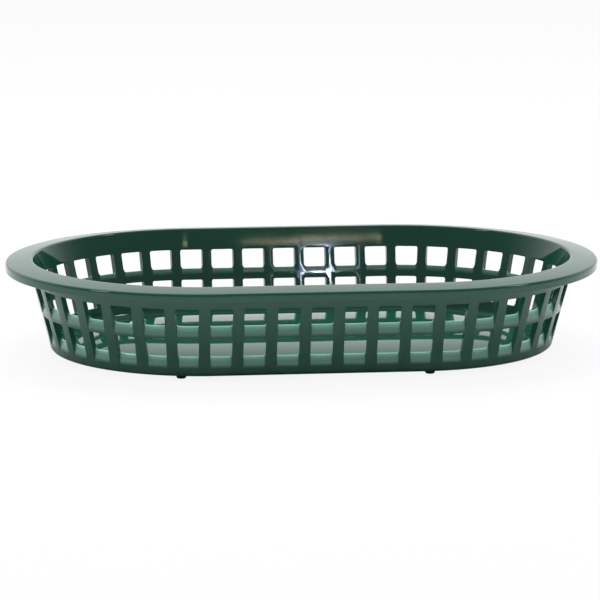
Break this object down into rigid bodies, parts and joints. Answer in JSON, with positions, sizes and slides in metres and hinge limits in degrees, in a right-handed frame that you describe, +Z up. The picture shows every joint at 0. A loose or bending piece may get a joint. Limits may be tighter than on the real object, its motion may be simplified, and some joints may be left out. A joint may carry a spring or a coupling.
{
  "type": "serving basket",
  "caption": "Oval moulded plastic serving basket with an open lattice wall, a wide flanged rim with a turned-down lip, a crowned floor and small feet, for food served in a paper liner.",
  "frame": {"origin": "middle of the footprint, on the surface that the feet stand on", "axes": "+X along the length, to the right in the picture, +Y across, away from the viewer, +Z up"},
  "size_m": [0.2666, 0.1756, 0.0429],
  "materials": {
    "basket_plastic": "glossy dark forest green polypropylene"
  },
  "bodies": {
    "root": {"rim_flange": "basket_plastic", "upper_band": "basket_plastic", "middle_hoop": "basket_plastic", "base_ring": "basket_plastic", "floor_panel": "basket_plastic", "wall_rib_01": "basket_plastic", "wall_rib_02": "basket_plastic", "wall_rib_03": "basket_plastic", "wall_rib_04": "basket_plastic", "wall_rib_05": "basket_plastic", "wall_rib_06": "basket_plastic", "wall_rib_07": "basket_plastic", "wall_rib_08": "basket_plastic", "wall_rib_09": "basket_plastic", "wall_rib_10": "basket_plastic", "wall_rib_11": "basket_plastic", "wall_rib_12": "basket_plastic", "wall_rib_13": "basket_plastic", "wall_rib_14": "basket_plastic", "wall_rib_15": "basket_plastic", "wall_rib_16": "basket_plastic", "wall_rib_17": "basket_plastic", "wall_rib_18": "basket_plastic", "wall_rib_19": "basket_plastic", "wall_rib_20": "basket_plastic", "wall_rib_21": "basket_plastic", "wall_rib_22": "basket_plastic", "wall_rib_23": "basket_plastic", "wall_rib_24": "basket_plastic", "wall_rib_25": "basket_plastic", "wall_rib_26": "basket_plastic", "wall_rib_27": "basket_plastic", "wall_rib_28": "basket_plastic", "wall_rib_29": "basket_plastic", "wall_rib_30": "basket_plastic", "wall_rib_31": "basket_plastic", "wall_rib_32": "basket_plastic", "wall_rib_33": "basket_plastic", "wall_rib_34": "basket_plastic", "wall_rib_35": "basket_plastic", "wall_rib_36": "basket_plastic", "wall_rib_37": "basket_plastic", "wall_rib_38": "basket_plastic", "wall_rib_39": "basket_plastic", "wall_rib_40": "basket_plastic", "wall_rib_41": "basket_plastic", "wall_rib_42": "basket_plastic", "wall_rib_43": "basket_plastic", "wall_rib_44": "basket_plastic", "foot_front_left": "basket_plastic", "foot_front_right": "basket_plastic", "foot_rear_left": "basket_plastic", "foot_rear_right": "basket_plastic"}
  },
  "joints": []
}
